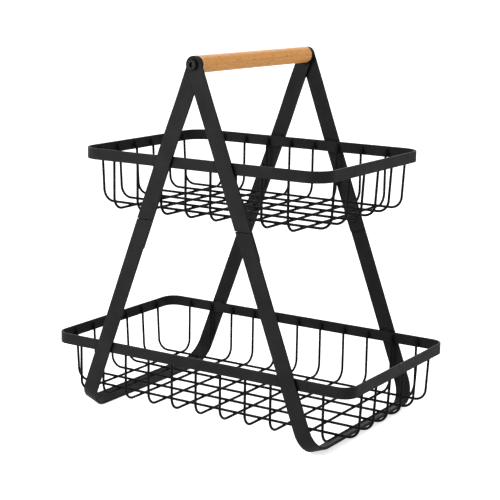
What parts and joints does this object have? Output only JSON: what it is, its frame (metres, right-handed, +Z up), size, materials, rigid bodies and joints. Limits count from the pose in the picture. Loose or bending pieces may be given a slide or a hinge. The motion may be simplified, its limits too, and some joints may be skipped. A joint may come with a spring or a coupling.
{
  "type": "tiered wire basket",
  "caption": "Tiered wire basket on tilted flat-bar frames that meet at a round wooden carrying grip.",
  "frame": {"origin": "on the surface the basket stands on, under the middle of the baskets", "axes": "+X along the long side of the baskets, +Y from front to back along the grip, +Z up"},
  "size_m": [0.4, 0.2506, 0.4231],
  "materials": {
    "black_powder_coat": "matte black powder coat over mild steel",
    "beech_grip": "turned hardwood with a clear satin oil",
    "black_screw": "black oxide steel",
    "zinc_insert": "zinc plated steel"
  },
  "bodies": {
    "stand": {"lower_cross_wire_1": "black_powder_coat", "lower_cross_wire_10": "black_powder_coat", "lower_cross_wire_11": "black_powder_coat", "lower_cross_wire_2": "black_powder_coat", "lower_cross_wire_3": "black_powder_coat", "lower_cross_wire_4": "black_powder_coat", "lower_cross_wire_5": "black_powder_coat", "lower_cross_wire_6": "black_powder_coat", "lower_cross_wire_7": "black_powder_coat", "lower_cross_wire_8": "black_powder_coat", "lower_cross_wire_9": "black_powder_coat", "lower_frame_left": "black_powder_coat", "lower_frame_right": "black_powder_coat", "lower_long_wire_1": "black_powder_coat", "lower_long_wire_2": "black_powder_coat", "lower_long_wire_3": "black_powder_coat", "lower_long_wire_4": "black_powder_coat", "lower_long_wire_5": "black_powder_coat", "lower_long_wire_6": "black_powder_coat", "lower_rim": "black_powder_coat", "splice_plate_back_left": "black_powder_coat", "splice_plate_back_right": "black_powder_coat", "splice_plate_front_left": "black_powder_coat", "splice_plate_front_right": "black_powder_coat", "splice_screws_back_left": "black_screw", "splice_screws_back_right": "black_screw", "splice_screws_front_left": "black_screw", "splice_screws_front_right": "black_screw", "upper_cross_wire_1": "black_powder_coat", "upper_cross_wire_2": "black_powder_coat", "upper_cross_wire_3": "black_powder_coat", "upper_cross_wire_4": "black_powder_coat", "upper_cross_wire_5": "black_powder_coat", "upper_cross_wire_6": "black_powder_coat", "upper_cross_wire_7": "black_powder_coat", "upper_cross_wire_8": "black_powder_coat", "upper_leg_back_left": "black_powder_coat", "upper_leg_back_right": "black_powder_coat", "upper_leg_front_left": "black_powder_coat", "upper_leg_front_right": "black_powder_coat", "upper_long_wire_1": "black_powder_coat", "upper_long_wire_2": "black_powder_coat", "upper_long_wire_3": "black_powder_coat", "upper_long_wire_4": "black_powder_coat", "upper_long_wire_5": "black_powder_coat", "upper_long_wire_6": "black_powder_coat", "upper_rim": "black_powder_coat"},
    "grip": {"handle_grip": "beech_grip", "grip_insert_front": "zinc_insert", "grip_insert_back": "zinc_insert", "grip_screw_front": "black_screw", "grip_screw_back": "black_screw"}
  },
  "joints": [
    {"name": "grip_turn", "type": "hinge", "parent": "stand", "child": "grip", "pos_m": [0, 0, 0.4135], "axis": [0, 1, 0], "continuous": true}
  ]
}
